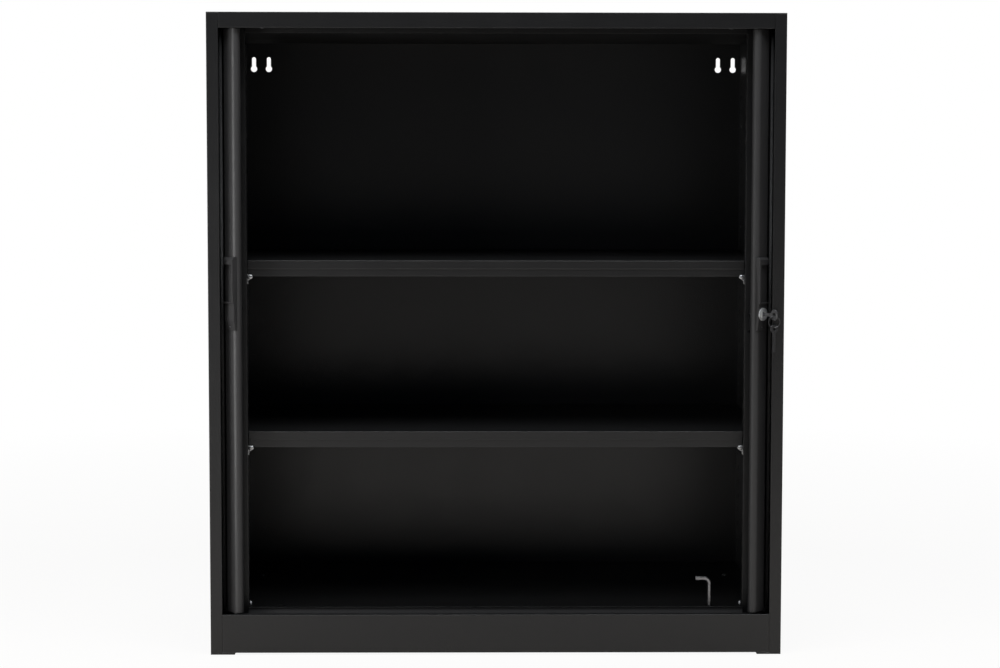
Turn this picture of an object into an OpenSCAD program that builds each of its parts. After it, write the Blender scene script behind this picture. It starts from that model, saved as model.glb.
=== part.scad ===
// Tambour door cabinet in folded sheet steel, both tambour doors run back into their side pockets.
// Millimetres, +Z up, front towards -Y, origin on the floor under the middle of the cabinet.

/* [Cabinet] */
// Width over the outer sides
overall_width = 908; // [870:1:960]
// Height over the top panel
overall_height = 1016; // [1000:1:1040]
// Depth of the folded sheet work, front frame to rear flange
overall_depth = 470; // [460:1:490]
// Sheet steel thickness
sheet = 1; // [0.9:0.1:1.2]
// Clearance where a folded part slips into another
fit_gap = 0.3; // [0.2:0.05:0.4]

/* [Front frame] */
// Width of the side panels' front flange
frame_flange = 18.5; // [17:0.5:18.5]
// Depth of the hem behind that flange
hem_depth = 5; // [3:0.5:6]
// Height of the top rail
rail_height = 24.5; // [22:0.5:26]
// Depth of the lip turned back from rail and plinth
lip_depth = 6; // [4:0.5:6.5]
// Height of the plinth's top edge
plinth_top = 64; // [62:0.5:64]
// Depth of the flange turned back under the plinth
plinth_return = 18; // [15:0.5:20]
// Thickness of the doubled hem that the side panels stand on
foot_hem = 3; // [2:0.5:4]
// Width of that hem
foot_hem_width = 38; // [30:1:40]

/* [Base and top] */
// Height of the base pan's upper face
pan_top = 50; // [48:0.5:50]
// Height of the raised deck's upper face
deck_top = 68; // [66:0.5:70]
// Set back of the deck and ceiling behind the front
deck_set_back = 45; // [42:0.5:48]
// Drop of the ceiling's underside below the cabinet's top
ceiling_drop = 31; // [29:0.5:33]
// Drop of the top pan's underside below the cabinet's top
top_pan_drop = 8; // [7:0.5:9]
// Depth of the top panel's side flanges
top_flange = 16; // [14:0.5:20]
// Their distance from front and rear
top_flange_inset = 12; // [10:0.5:16]
// Depth of the pans' stiffening flanges
pan_flange = 28; // [20:1:30]

/* [Liners] */
// Inner wall's distance from the outer side
liner_wall = 21; // [21:0.5:23]
// Front post's outer edge, from the outer side
post_outer = 43; // [42:0.5:44]
// Front post's inner face, from the outer side
post_inner = 56; // [55:0.5:58]
// Front post's set back behind the front
post_front = 56; // [55:0.5:58]
// Front post's depth
post_depth = 19; // [18:0.5:20]
// Pitch of the shelf slots
slot_pitch = 25; // [24:0.25:25.5]
// Highest slot's seat, at least this far below the cabinet's top
slot_top_gap = 85; // [80:1:90]
// Seat height of the lowest possible shelf
slot_start = 99.5; // [97:0.5:102]
// Slot width
slot_width = 6; // [5:0.5:6]
// Slot height
slot_height = 8; // [7:0.5:8]

/* [Back panel] */
// Keyholes' round part below the cabinet's top
keyhole_drop = 75; // [72:0.5:85]
// Outer keyhole, from the outer side
keyhole_outer = 34; // [32:0.5:36]
// Spacing of the two keyholes at each side
keyhole_spacing = 26; // [24:0.5:28]
// Radius of the keyhole's round part
keyhole_radius = 5.5; // [5:0.1:6]
// Width of the keyhole's neck
keyhole_neck = 7; // [6:0.1:7]
// Rise of the neck over the round part's centre
keyhole_rise = 17; // [15:0.5:20]
// Rivets down each side of the back panel
rivet_rows = 5; // [4:1:6]
// First and last rivet from the cabinet's foot and top
rivet_end = 90; // [80:1:100]
// Rivet head radius
rivet_head = 3.2; // [3:0.1:3.5]
// Rivet shank radius
rivet_shank = 1.6; // [1.5:0.1:1.8]

/* [Tambour track] */
// Track centreline behind the front
track_front = 16; // [16:0.25:17]
// Track centreline from the outer side
track_side = 11; // [11:0.25:11.5]
// Radius of the corner guide's centreline
corner_radius = 30; // [29:0.5:31]
// Width of the track body
track_width = 16; // [15:0.5:16]
// Width of its groove
groove_width = 10; // [9.5:0.25:10.5]
// Height of the bottom track
bottom_track_height = 12; // [11:0.5:12]
// Height of the top track
top_track_height = 10; // [9:0.5:10]
// Thickness of the track's web behind the groove
track_web = 3; // [2.5:0.25:3.5]
// Seating clearance of runners and slats on the track
ride_gap = 0.3; // [0.2:0.05:0.35]

/* [Tambour curtain] */
// Room behind the last slat in its pocket
slat_rear_gap = 30.5; // [28:0.5:36]
// Slats in each door
slat_count = 26; // [22:1:26]
// Slat thickness
slat_thickness = 7; // [6.5:0.25:7]
// Gap between two slats
slat_gap = 0.4; // [0.3:0.05:0.6]
// Turn of the first slat inside the corner guide, in degrees
first_slat_angle = 28; // [26:0.5:29]

/* [Leading stile] */
// Stile width
stile_width = 28; // [27:0.5:29]
// Stile thickness
stile_thickness = 16; // [15.5:0.25:16.5]
// Nose ahead of the glide's axis
stile_lead = 12; // [11.5:0.25:12.5]
// Radius of the edges at the stile's tail; its nose is a half round
stile_edge = 2.5; // [1.5:0.25:3]
// Turn of the stile in its corner when the door is open, in degrees
stile_turn = 45; // [44:0.5:46]
// Glide axis from the outer side when the door is open
glide_rest = 41; // [41:0.25:42]
// Height of the stile's lower end
stile_bottom = 66; // [65.5:0.25:67]
// Gap between the stile's top and the rail's lip
stile_top_gap = 1; // [0.8:0.1:1.5]
// Glide pin radius
glide_radius = 4; // [3.5:0.1:4]
// Running clearance of a pin in its bore
run_gap = 0.05; // [0.03:0.01:0.08]
// Glide pin's depth inside the stile
glide_depth = 10; // [8:0.5:14]
// Glide shoulder radius
glide_shoulder = 6.5; // [6:0.25:7]

/* [Handles] */
// Handle's lower end below the lock's axis
handle_drop = 26; // [25:0.5:27]
// Handle height
handle_height = 116; // [110:1:120]
// Handle width
handle_width = 22; // [21:0.5:23]
// Handle's leading edge, ahead of the glide's axis
handle_lead = 10.5; // [10:0.25:10.75]
// Base plate thickness
handle_plate = 1.5; // [1.5:0.1:2]
// Reach of the grip in front of the stile
handle_reach = 6; // [5.5:0.1:6.5]
// Reach of the lock block in front of the stile
lock_block_reach = 3.5; // [3:0.1:4]
// Height of the lock block
lock_block_height = 45; // [43:1:47]
// Height of the top block
top_block_height = 12; // [10:0.5:14]
// Thickness of the grip's rim
rim = 3; // [2.5:0.1:3.5]
// Handle screw radius
handle_screw = 2; // [1.8:0.1:2.2]
// Handle screw head radius
handle_screw_head = 3.6; // [3.4:0.1:4]

/* [Lock and keys] */
// Height of the lock's axis
lock_height = 543; // [500:0.5:580]
// Radius of the chrome rim
lock_rim = 10.2; // [10:0.05:10.3]
// Thickness of the chrome rim
lock_rim_thickness = 1.5; // [1:0.1:2]
// Radius of the lock's barrel
barrel_radius = 7; // [6.5:0.1:7.2]
// Radius of the turning plug
plug_radius = 4.5; // [4.2:0.1:4.8]
// Nut thickness
nut_thickness = 2.5; // [2:0.1:2.8]
// Cam thickness
cam_thickness = 2; // [1.6:0.1:2.2]
// Cam length from the lock's axis
cam_length = 30; // [29:0.5:30]
// Cam half width
cam_half = 4; // [3.5:0.1:4.2]
// Cam tooth, width and rise
cam_tooth = 4; // [3.5:0.1:4]
// Keeper plate below the lock's axis
keeper_drop = 12; // [10:0.5:12]
// Keeper plate above the lock's axis
keeper_rise = 22; // [20:0.5:24]
// Key blade thickness
key_thickness = 1.8; // [1.6:0.1:2]
// Key blade width
key_width = 5.8; // [5.2:0.1:5.8]
// Half length of a key's bow, also the radius of its round ends
key_bow = 6.5; // [6:0.1:6.5]
// Distance of the round ends from the key's middle line
key_bow_rise = 2.2; // [1.6:0.1:2.2]
// Key bow's centre in front of the chrome rim
key_bow_reach = 21.5; // [21.4:0.1:21.8]
// Radius of the hole in a key's bow
key_hole = 3.2; // [3.1:0.1:3.3]
// Key blade length inside the plug
key_blade = 15; // [12:0.5:16]
// Radius of the key ring
ring_radius = 9; // [8:0.25:10]
// Radius of the ring's wire
ring_wire = 0.7; // [0.6:0.05:0.75]
// Turn of the spare key on the ring, in degrees
spare_turn = 50; // [45:1:52]

/* [Shelves] */
// Slot number that holds the lower shelf
lower_slot = 9; // [7:1:10]
// Slot number that holds the upper shelf
upper_slot = 20; // [18:1:22]
// Height of the shelf's folded lips
shelf_lip = 25.5; // [24:0.5:28]
// Height of the upper band of the front lip
shelf_band = 13.5; // [12:0.5:15]
// Set back of the lower band
shelf_step = 1.5; // [1.2:0.1:2]
// Width of the flange turned in under the lips
shelf_return = 14; // [12:0.5:16]
// Shelf's front edge behind the cabinet's front
shelf_front = 62; // [61:0.5:66]
// Clip width
clip_width = 12; // [10:0.5:12]
// Clip reach under the shelf
clip_reach = 8; // [7:0.5:9]
// Clip metal thickness
clip_metal = 1.5; // [1.2:0.1:1.6]
// Rise of the front clips' stop ahead of the shelf's lip
clip_stop = 3; // [2:0.5:4]
// Rear clips' distance from the rear
clip_rear_inset = 34; // [32:0.5:40]

/* [Levelling feet] */
// Foot axis from the outer side
foot_side = 109.5; // [104:0.5:114]
// Foot axis from front and rear
foot_inset = 56; // [56:0.5:60]
// Pad radius
pad_radius = 18; // [16:0.5:20]
// Pad thickness
pad_height = 6; // [5:0.5:8]
// Spindle radius
spindle_radius = 5; // [4:0.5:6]
// Spindle top
spindle_top = 56; // [54:0.5:58]
// Hexagon across flats of the spindle's socket
socket_flats = 6.1; // [5.1:0.1:6.2]
// Socket depth
socket_depth = 8; // [6:0.5:10]
// Bush radius
bush_radius = 9; // [8:0.5:10]
// Bush length
bush_length = 16; // [12:1:18]
// Radius of the access holes in the deck
access_radius = 6; // [5.5:0.25:7]
// Clearance of the hexagon key in the socket, across flats
hex_gap = 0.2; // [0.1:0.05:0.3]
// Visible height of the hexagon key over the deck
hex_rise = 47; // [40:1:55]
// Length of the hexagon key's short arm
hex_arm = 22; // [20:1:32]
// Bend radius of the hexagon key
hex_bend = 8; // [7:0.5:10]

/* [Small parts] */
// Deck screw head radius
deck_screw_head = 3.5; // [3:0.1:4]
// Deck screw shank radius
deck_screw_shank = 1.7; // [1.5:0.1:2]
// Front and rear deck screws, from the front
deck_screw_front = 86; // [84:1:90]
// Rear deck screws, from the front
deck_screw_rear = 330; // [300:5:360]
// Buffer distance from the middle
buffer_spread = 367; // [355:1:372]
// Buffer head radius
buffer_head = 3; // [2.5:0.1:3]

/* [Hidden] */
$fn = 64;
eps = 0.01;
W = overall_width;
H = overall_height;
D = overall_depth;
top_under = H - sheet;
rail_bottom = H - rail_height;
keyhole_height = H - keyhole_drop;
back_face = D - 2 * sheet;
top_pan_under = H - top_pan_drop;
ceiling_under = H - ceiling_drop;
stile_top = rail_bottom - stile_top_gap;
stile_half = stile_thickness / 2;
front_reach = stile_half + handle_reach;
handle_bottom = lock_height - handle_drop;
groove_floor = pan_top + track_web;
groove_roof = top_pan_under - track_web;
bottom_track_top = pan_top + bottom_track_height;
top_track_under = top_pan_under - top_track_height;
corner_x = track_side + corner_radius;
corner_y = track_front + corner_radius;
post_back = post_front + post_depth;
slat_low = groove_floor + ride_gap;
slat_high = groove_roof - ride_gap;
first_slat_arc = corner_radius * first_slat_angle * PI / 180;
slat_pitch = (D - slat_rear_gap - corner_y + first_slat_arc) / (slat_count - 0.5);
slot_count = floor((H - slot_top_gap - slot_start) / slot_pitch) + 1;
lock_block = stile_half + lock_block_reach;
lock_face = lock_block + lock_rim_thickness;
nut_face = -stile_half - nut_thickness;
cam_face = nut_face - 0.5;
plug_end = cam_face - cam_thickness;
hole_reach = lock_face + key_bow_reach;
ring_drop = key_hole - ring_wire - 0.6;
hex_flats = socket_flats - hex_gap;
hex_corner = hex_flats / sqrt(3);
socket_corner = socket_flats / sqrt(3);
socket_bottom = spindle_top - socket_depth;
clip_front_y = post_front + post_depth / 2 + 1;
clip_rear_y = D - clip_rear_inset;
feet = [[foot_side, foot_inset], [foot_side, D - foot_inset]];

function shelf_seat(slot) = slot_start + slot * slot_pitch;

// Colours of the materials.
module steel() { color([0.11, 0.11, 0.12]) children(); }
module zinc() { color([0.72, 0.73, 0.74]) children(); }
module chrome() { color([0.86, 0.86, 0.87]) children(); }
module nylon() { color([0.07, 0.07, 0.075]) children(); }
module plastic() { color([0.1, 0.1, 0.11]) children(); }

// Left half placed from its outer front corner, right half as its mirror image.
module at_left() { translate([-W / 2, -D / 2, 0]) children(); }
module at_right() { mirror([1, 0, 0]) at_left() children(); }
module at_both() { at_left() children(); at_right() children(); }

// A block from one corner to the other.
module block(low, high) { translate(low) cube(high - low); }

// Stile frame: X along the width to the nose, Y outwards, Z up, origin on the glide's axis.
module at_stile() {
    translate([glide_rest, track_front, 0]) rotate([0, 0, -stile_turn]) mirror([0, 1, 0]) children();
}

// A straight pin along the stile's outward direction, from one reach to the other.
module face_pin(from, to, radius) {
    translate([0, from, lock_height]) rotate([-90, 0, 0]) cylinder(r = radius, h = to - from);
}

module side_panel() {
    block([0, 0, 0], [sheet, D, top_under]);
    block([0, 0, 0], [frame_flange, sheet, top_under]);
    block([frame_flange - sheet, 0, plinth_top + 2], [frame_flange, sheet + hem_depth, rail_bottom - 2]);
    difference() {
        block([0, D - sheet, 0], [frame_flange, D, top_under]);
        rivet_places() rivet_hole();
    }
    block([0, 0, 0], [foot_hem_width, D, foot_hem]);
}

module left_side() { steel() at_left() side_panel(); }
module right_side() { steel() at_right() side_panel(); }

// Rivet axes through the rear flange, the back panel and the liner, one column.
module rivet_places() {
    for (i = [0 : rivet_rows - 1])
        translate([frame_flange / 2, D, rivet_end + i * (H - 2 * rivet_end) / (rivet_rows - 1)]) children();
}
module rivet_hole() {
    rotate([90, 0, 0]) translate([0, 0, -sheet]) cylinder(r = rivet_shank, h = 5 * sheet);
}

module top_panel() {
    steel() translate([-W / 2, -D / 2, 0]) difference() {
        union() {
            block([0, 0, top_under], [W, D, H]);
            block([frame_flange + fit_gap, 0, rail_bottom], [W - frame_flange - fit_gap, sheet, H]);
            block([frame_flange + fit_gap, 0, rail_bottom],
                  [W - frame_flange - fit_gap, lip_depth, rail_bottom + sheet]);
            for (s = [0, 1]) translate([s * W, 0, 0]) mirror([s, 0, 0])
                block([sheet + fit_gap, sheet, rail_bottom + 2], [frame_flange + 6, 2 * sheet, H]);
            block([frame_flange + 2, back_face - sheet, top_pan_under],
                  [W - frame_flange - 2, back_face, H]);
            for (x = [sheet, W - 2 * sheet])
                block([x, top_flange_inset, H - top_flange], [x + sheet, D - top_flange_inset, H]);
        }
        for (x = [-buffer_spread, buffer_spread])
            translate([W / 2 + x, lip_depth / 2 + 0.5, rail_bottom - 1]) cylinder(r = 1.6, h = sheet + 2);
    }
}

module top_pan() {
    x = 2 * sheet;
    y = 2 * sheet;
    r = back_face - sheet;
    steel() translate([-W / 2, -D / 2, 0]) {
        block([x, y, top_pan_under], [W - x, r, top_pan_under + sheet]);
        block([x, y, top_pan_under], [W - x, y + sheet, top_under]);
        block([x, r - sheet, top_pan_under], [W - x, r, top_under]);
        for (side = [x, W - x - sheet])
            block([side, y, top_pan_under], [side + sheet, r, top_under]);
    }
}

// Plan of the deck and the ceiling: narrow between the posts, full width behind them.
module inner_tray(low, high, plate_low) {
    narrow = post_inner + fit_gap;
    wide = liner_wall + fit_gap;
    step = post_back + fit_gap;
    rear = back_face - fit_gap;
    front = deck_set_back;
    block([narrow, front, plate_low], [W - narrow, step + sheet, plate_low + sheet]);
    block([wide, step, plate_low], [W - wide, rear, plate_low + sheet]);
    block([narrow, front, low], [W - narrow, front + sheet, high]);
    block([wide, rear - sheet, low], [W - wide, rear, high]);
    for (s = [0, 1]) translate([s * W, 0, 0]) mirror([s, 0, 0]) {
        block([narrow, front, low], [narrow + sheet, step + sheet, high]);
        block([wide, step, low], [narrow + sheet, step + sheet, high]);
        block([wide, step, low], [wide + sheet, rear, high]);
    }
}

module ceiling() {
    steel() translate([-W / 2, -D / 2, 0]) inner_tray(ceiling_under, top_pan_under, ceiling_under);
}

module base_pan() {
    steel() difference() {
        translate([-W / 2, -D / 2, 0]) union() {
            block([sheet, 2 * sheet, pan_top - sheet], [W - sheet, back_face, pan_top]);
            block([frame_flange + 8, sheet, pan_top - pan_flange],
                  [W - frame_flange - 8, 2 * sheet + eps, pan_top]);
            block([sheet, back_face - sheet, pan_top - pan_flange], [W - sheet, back_face, pan_top]);
            for (x = [sheet, W - 2 * sheet])
                block([x, 3 * sheet, pan_top - pan_flange], [x + sheet, back_face, pan_top]);
        }
        at_both() foot_places() translate([0, 0, pan_top - sheet - 1])
            cylinder(r = spindle_radius + 0.4, h = sheet + 2);
        at_both() deck_screw_places() translate([0, 0, pan_top - sheet - 1])
            cylinder(r = deck_screw_shank, h = sheet + 2);
    }
}

module foot_places() { for (f = feet) translate([f[0], f[1], 0]) children(); }
module deck_screw_places() {
    for (y = [deck_screw_front, deck_screw_rear]) translate([post_inner, y, 0]) children();
}

module deck() {
    steel() difference() {
        translate([-W / 2, -D / 2, 0]) inner_tray(pan_top, deck_top, deck_top - sheet);
        at_both() foot_places() translate([0, 0, deck_top - sheet - 1])
            cylinder(r = access_radius, h = sheet + 2);
        at_both() deck_screw_places() translate([0, 0, deck_top - sheet - 1])
            cylinder(r = deck_screw_shank, h = sheet + 2);
    }
}

module deck_screws() {
    zinc() at_both() deck_screw_places() {
        translate([0, 0, pan_top - 4]) cylinder(r = deck_screw_shank, h = deck_top - pan_top + 4);
        translate([0, 0, deck_top]) cylinder(r1 = deck_screw_head, r2 = deck_screw_head * 0.7, h = 2.2);
    }
}

module plinth() {
    x = frame_flange + fit_gap;
    steel() translate([-W / 2, -D / 2, 0]) {
        block([x, 0, foot_hem], [W - x, sheet, plinth_top]);
        block([x, 0, plinth_top - sheet], [W - x, lip_depth, plinth_top]);
        for (s = [0, 1]) translate([s * W, 0, 0]) mirror([s, 0, 0])
            block([sheet + fit_gap, sheet, foot_hem + 2], [x + 6, 2 * sheet, plinth_top - 2]);
        block([foot_hem_width + fit_gap, 0, foot_hem],
              [W - foot_hem_width - fit_gap, plinth_return, foot_hem + sheet]);
    }
}

// One keyhole, round below and necked above, cut along Y.
module keyhole() {
    rotate([-90, 0, 0]) cylinder(r = keyhole_radius, h = 4 * sheet);
    translate([-keyhole_neck / 2, 0, 0]) cube([keyhole_neck, 4 * sheet, keyhole_rise]);
    translate([0, 0, keyhole_rise]) rotate([-90, 0, 0]) cylinder(r = keyhole_neck / 2, h = 4 * sheet);
}

module back_panel() {
    steel() difference() {
        translate([-W / 2, -D / 2, 0])
            block([sheet + fit_gap, back_face, foot_hem + sheet],
                  [W - sheet - fit_gap, back_face + sheet, top_under]);
        at_both() for (x = [keyhole_outer, keyhole_outer + keyhole_spacing])
            translate([x, back_face - 1.5 * sheet, keyhole_height]) keyhole();
        at_both() rivet_places() rivet_hole();
    }
}

module back_rivets() {
    zinc() at_both() rivet_places() rotate([90, 0, 0]) {
        cylinder(r = rivet_shank, h = 3 * sheet);
        translate([0, 0, -1.2]) cylinder(r1 = rivet_head * 0.6, r2 = rivet_head, h = 1.2);
        translate([0, 0, 3 * sheet]) cylinder(r = rivet_head * 0.8, h = 0.8);
    }
}

module liner() {
    z0 = pan_top;
    z1 = top_pan_under;
    difference() {
        union() {
            block([post_outer, post_front, z0], [post_inner, post_front + sheet, z1]);
            block([post_outer, post_front, z0], [post_outer + sheet, post_front + 6, z1]);
            block([post_inner - sheet, post_front, z0], [post_inner, post_back, z1]);
            block([liner_wall - sheet, post_back - sheet, z0], [post_inner, post_back, z1]);
            block([liner_wall - sheet, post_back - sheet, z0], [liner_wall, back_face, z1]);
            block([track_side - slat_thickness, back_face - sheet, z0], [liner_wall, back_face, z1]);
        }
        rivet_places() rivet_hole();
        for (k = [0 : slot_count - 1]) translate([0, 0, shelf_seat(k) - slot_height - 4]) {
            block([post_inner - 2 * sheet, clip_front_y - slot_width / 2, 0],
                  [post_inner + sheet, clip_front_y + slot_width / 2, slot_height]);
            block([liner_wall - 2 * sheet, clip_rear_y - slot_width / 2, 0],
                  [liner_wall + sheet, clip_rear_y + slot_width / 2, slot_height]);
        }
    }
}

module left_liner() { steel() at_left() liner(); }
module right_liner() { steel() at_right() liner(); }

// Straight grooved track along X, centred on Y, its groove open to +Z.
module straight_track(length, height) {
    difference() {
        translate([0, -track_width / 2, 0]) cube([length, track_width, height]);
        translate([-1, -groove_width / 2, track_web]) cube([length + 2, groove_width, height]);
    }
}

// Quarter turn of the same track round the origin, in the quadrant of -X and -Y.
module turned_track(height) {
    intersection() {
        difference() {
            cylinder(r = corner_radius + track_width / 2, h = height);
            translate([0, 0, -1]) cylinder(r = corner_radius - track_width / 2, h = height + 2);
            translate([0, 0, track_web]) difference() {
                cylinder(r = corner_radius + groove_width / 2, h = height);
                translate([0, 0, -1]) cylinder(r = corner_radius - groove_width / 2, h = height + 2);
            }
        }
        translate([-corner_radius - track_width, -corner_radius - track_width, -1])
            cube([corner_radius + track_width, corner_radius + track_width, height + 2]);
    }
}

module under_top() { translate([0, 0, top_pan_under]) mirror([0, 0, 1]) children(); }

module front_track(height) {
    translate([corner_x, track_front, 0]) straight_track(W - 2 * corner_x, height);
}
module bottom_front_track() {
    nylon() at_left() translate([0, 0, pan_top]) front_track(bottom_track_height);
}
module top_front_track() { nylon() at_left() under_top() front_track(top_track_height); }

module corner_guides() {
    translate([corner_x, corner_y, pan_top]) turned_track(bottom_track_height);
    under_top() translate([corner_x, corner_y, 0]) turned_track(top_track_height);
}
module left_corner_guides() { nylon() at_left() corner_guides(); }
module right_corner_guides() { nylon() at_right() corner_guides(); }

module side_run(height) {
    translate([track_side, corner_y, 0]) rotate([0, 0, 90])
        straight_track(back_face - sheet - fit_gap - corner_y, height);
}
module side_tracks() {
    translate([0, 0, pan_top]) side_run(bottom_track_height);
    under_top() side_run(top_track_height);
}
module left_side_tracks() { nylon() at_left() side_tracks(); }
module right_side_tracks() { nylon() at_right() side_tracks(); }

// One slat, its face towards -X, its length along Z.
module slat() {
    w = (slat_pitch - slat_gap) / 2;
    t = slat_thickness / 2;
    translate([0, 0, slat_low]) linear_extrude(slat_high - slat_low)
        polygon([[-1, -w], [-t, 1 - w], [-t, w - 1], [-1, w], [t, w - 1.2], [t, 1.2 - w]]);
}

// The first slat stands in the corner guide, the rest in the side run.
module slats() {
    translate([corner_x, corner_y, 0]) rotate([0, 0, first_slat_angle])
        translate([-corner_radius, 0, 0]) slat();
    for (i = [1 : slat_count - 1])
        translate([track_side, corner_y + i * slat_pitch - first_slat_arc, 0]) slat();
}
module left_slats() { plastic() at_left() slats(); }
module right_slats() { plastic() at_right() slats(); }

module glides() {
    translate([glide_rest, track_front, 0]) {
        translate([0, 0, slat_low])
            cylinder(r = glide_radius, h = stile_bottom + glide_depth - slat_low);
        translate([0, 0, bottom_track_top + ride_gap])
            cylinder(r = glide_shoulder, h = stile_bottom - bottom_track_top - ride_gap);
        translate([0, 0, stile_top - glide_depth])
            cylinder(r = glide_radius, h = slat_high - stile_top + glide_depth);
        translate([0, 0, stile_top + ride_gap])
            cylinder(r = glide_shoulder, h = top_track_under - stile_top - 2 * ride_gap);
    }
}
module left_glides() { nylon() at_left() glides(); }
module right_glides() { nylon() at_right() glides(); }

// Section of the stile: flat faces, a half-round nose and small edges at the tail.
module stile_section() {
    x0 = stile_lead - stile_width;
    x1 = stile_lead - stile_half;
    r = stile_edge;
    block([x0 + r, -stile_half, stile_bottom], [x1, stile_half, stile_top]);
    block([x0, r - stile_half, stile_bottom], [x1, stile_half - r, stile_top]);
    translate([x1, 0, stile_bottom]) cylinder(r = stile_half, h = stile_top - stile_bottom);
    for (y = [r - stile_half, stile_half - r])
        translate([x0 + r, y, stile_bottom]) cylinder(r = r, h = stile_top - stile_bottom);
}

module stile(with_lock) {
    at_stile() difference() {
        stile_section();
        translate([0, 0, stile_bottom - 1]) cylinder(r = glide_radius + run_gap, h = glide_depth + 2);
        translate([0, 0, stile_top - glide_depth - 1])
            cylinder(r = glide_radius + run_gap, h = glide_depth + 2);
        if (with_lock) face_pin(-stile_thickness, stile_thickness, barrel_radius);
        handle_screw_places() translate([0, -stile_thickness, 0]) rotate([-90, 0, 0])
            cylinder(r = handle_screw, h = 2 * stile_thickness);
    }
}
module left_stile() { plastic() at_left() stile(false); }
module right_stile() { plastic() at_right() stile(true); }

// Two screws hold each handle, one under the top block and one in the lock block.
module handle_screw_places() {
    x = handle_lead - handle_width / 2;
    for (z = [handle_bottom + 7, handle_bottom + handle_height - top_block_height / 2])
        translate([x, 0, z]) children();
}

// A block over the stile's face between two places across it, in side profile of reach and height.
module profiled(x0, x1, points) {
    translate([x0, 0, 0]) rotate([90, 0, 90]) linear_extrude(x1 - x0) polygon(points);
}

// Pull that wraps the nose: finger recess, rim, sloped top and a lock block that tapers downwards.
module handle(with_lock) {
    x1 = handle_lead;
    x0 = handle_lead - handle_width;
    y = stile_half;
    z0 = handle_bottom;
    z1 = handle_bottom + handle_height;
    grip = z0 + lock_block_height;
    flat = lock_height - lock_rim - 0.5;
    at_stile() difference() {
        union() {
            block([x0, 0, z0 + 2], [x1, y + handle_plate, z1 - 2]);
            profiled(x0, x1, [[0, z1 - top_block_height], [front_reach, z1 - top_block_height],
                [front_reach, z1 - 4], [front_reach - 2, z1 - 1], [front_reach - 4, z1], [0, z1]]);
            profiled(x0, x1, [[0, z0], [y + 1, z0], [lock_block, flat], [lock_block, grip], [0, grip]]);
            profiled(x0, x1, [[0, grip - rim], [lock_block, grip - rim], [front_reach, grip - rim + 1],
                [front_reach, grip], [0, grip]]);
            block([x1 - rim, 0, grip - rim + 1], [x1, front_reach, z1 - 4]);
            face_pin(0, lock_block, lock_rim);
        }
        stile_section();
        if (with_lock) face_pin(0, 2 * stile_thickness, barrel_radius);
        handle_screw_places() translate([0, y - 1, 0]) rotate([-90, 0, 0])
            cylinder(r = handle_screw, h = 3);
    }
}
module left_handle() { plastic() at_left() handle(false); }
module right_handle() { plastic() at_right() handle(true); }

module handle_screws() {
    at_stile() handle_screw_places() rotate([-90, 0, 0]) {
        translate([0, 0, -stile_half]) cylinder(r = handle_screw, h = stile_thickness + 2);
        translate([0, 0, -stile_half - 2]) cylinder(r = handle_screw_head, h = 2);
    }
}
module left_handle_screws() { zinc() at_left() handle_screws(); }
module right_handle_screws() { zinc() at_right() handle_screws(); }

module lock_barrel() {
    chrome() at_right() at_stile() difference() {
        union() {
            face_pin(nut_face - 0.3, lock_block, barrel_radius);
            face_pin(lock_block, lock_face, lock_rim);
        }
        face_pin(nut_face - 1, lock_face + 1, plug_radius + run_gap);
    }
}

module lock_nut() {
    zinc() at_right() at_stile() difference() {
        translate([0, nut_face, lock_height]) rotate([-90, 0, 0])
            cylinder(r = barrel_radius + 2.8, h = nut_thickness, $fn = 6);
        face_pin(nut_face - 1, 0, barrel_radius);
    }
}

// The plug turns in the barrel, its keyway stands upright at rest.
module lock_plug() {
    chrome() at_right() at_stile() difference() {
        union() {
            face_pin(nut_face - 0.3, lock_face, plug_radius);
            block([-2.5, plug_end, lock_height - 2.5], [2.5, nut_face, lock_height + 2.5]);
        }
        block([-key_thickness / 2 - 0.1, lock_face - key_blade - 0.2, lock_height - key_width / 2 - 0.1],
              [key_thickness / 2 + 0.1, lock_face + 1, lock_height + key_width / 2 + 0.1]);
        face_pin(plug_end - 1, plug_end + 5, 1.2);
    }
}

// The hook points down when unlocked and to the nose side after a quarter turn.
module lock_cam() {
    tip = lock_height - cam_length;
    zinc() at_right() at_stile() difference() {
        union() {
            block([-cam_half, plug_end, tip], [cam_half, cam_face, lock_height]);
            face_pin(plug_end, cam_face, cam_half + 1.5);
            block([cam_half - eps, plug_end, tip], [cam_half + cam_tooth, cam_face, tip + cam_tooth]);
        }
        block([-2.5, plug_end - 1, lock_height - 2.5], [2.5, cam_face + 1, lock_height + 2.5]);
    }
}

module cam_screw() {
    zinc() at_right() at_stile() {
        face_pin(plug_end, plug_end + 5, 1.2);
        face_pin(plug_end - 1.5, plug_end, 3.8);
    }
}

// Bracket behind the left stile with the post that the hook catches.
module keeper() {
    closed_gap = 1;
    post = 2 * stile_lead + closed_gap - cam_length + cam_tooth + 0.7;
    y = -stile_half;
    zinc() at_left() at_stile() {
        block([post - 6, y - sheet, lock_height - keeper_drop], [post + 4, y, lock_height + keeper_rise]);
        block([post, plug_end - 1, lock_height + cam_half + 1],
              [post + 3, y, lock_height + cam_half + 7]);
    }
}

// Key with a notched blade and a bow broader than it is long, tip at the origin, bow towards +Y.
module key_blank() {
    t = key_thickness;
    length = key_blade + key_bow_reach;
    translate([-t / 2, 0, 0]) rotate([0, 90, 0]) difference() {
        union() {
            translate([-key_width / 2, 0, 0]) cube([key_width, length, t]);
            for (s = [-1, 1]) translate([s * key_bow_rise, length, 0]) cylinder(r = key_bow, h = t);
            translate([-key_bow_rise, length - key_bow, 0]) cube([2 * key_bow_rise, 2 * key_bow, t]);
        }
        translate([0, length, -1]) cylinder(r = key_hole, h = t + 2);
        for (i = [0 : 2]) translate([key_width / 2, 3 + 3.4 * i, -1]) cylinder(r = 1.1, h = t + 2);
    }
}

module key() {
    chrome() at_right() at_stile() translate([0, lock_face - key_blade, lock_height]) key_blank();
}

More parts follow.
